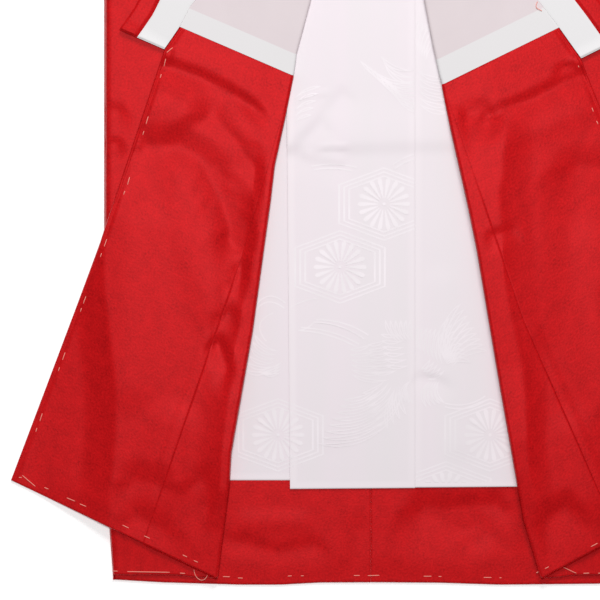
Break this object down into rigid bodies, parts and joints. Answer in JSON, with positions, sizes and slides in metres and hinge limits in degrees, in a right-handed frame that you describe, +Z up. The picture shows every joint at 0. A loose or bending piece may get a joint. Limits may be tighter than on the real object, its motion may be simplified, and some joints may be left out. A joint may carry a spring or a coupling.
{
  "type": "child's kimono",
  "caption": "Girl's lined ceremonial kimono in red figured silk, laid flat with its fronts turned open to show the lining and a white figured inner layer; a garment to lay out on display.",
  "frame": {"origin": "on the surface the garment lies on, under the middle of its box", "axes": "+X towards the wearer's left, +Y from the hem to the neck, +Z up from the surface it lies on"},
  "size_m": [0.86, 1.0098, 0.0165],
  "materials": {
    "red_outer_silk": "red figured silk, soft satin sheen",
    "red_lining_silk": "red lining silk, soft satin sheen",
    "sheer_lining_silk": "thin pale pinkish silk, matt",
    "white_silk": "white figured silk, soft satin sheen"
  },
  "bodies": {
    "root": {"back_right": "red_outer_silk", "sleeve_right": "red_outer_silk", "front_right": "red_outer_silk", "okumi_right": "red_outer_silk", "collar_right": "red_outer_silk", "hakkake_back_right": "red_lining_silk", "hakkake_front_right": "red_lining_silk", "hakkake_okumi_right": "red_lining_silk", "doura_okumi_right": "sheer_lining_silk", "collar_lining_right": "white_silk", "back_left": "red_outer_silk", "sleeve_left": "red_outer_silk", "front_left": "red_outer_silk", "okumi_left": "red_outer_silk", "collar_left": "red_outer_silk", "hakkake_back_left": "red_lining_silk", "hakkake_front_left": "red_lining_silk", "hakkake_okumi_left": "red_lining_silk", "doura_okumi_left": "sheer_lining_silk", "collar_lining_left": "white_silk", "collar_neck": "red_outer_silk", "inner_front_right": "white_silk", "inner_okumi_left": "white_silk", "inner_front_left": "white_silk"}
  },
  "joints": []
}
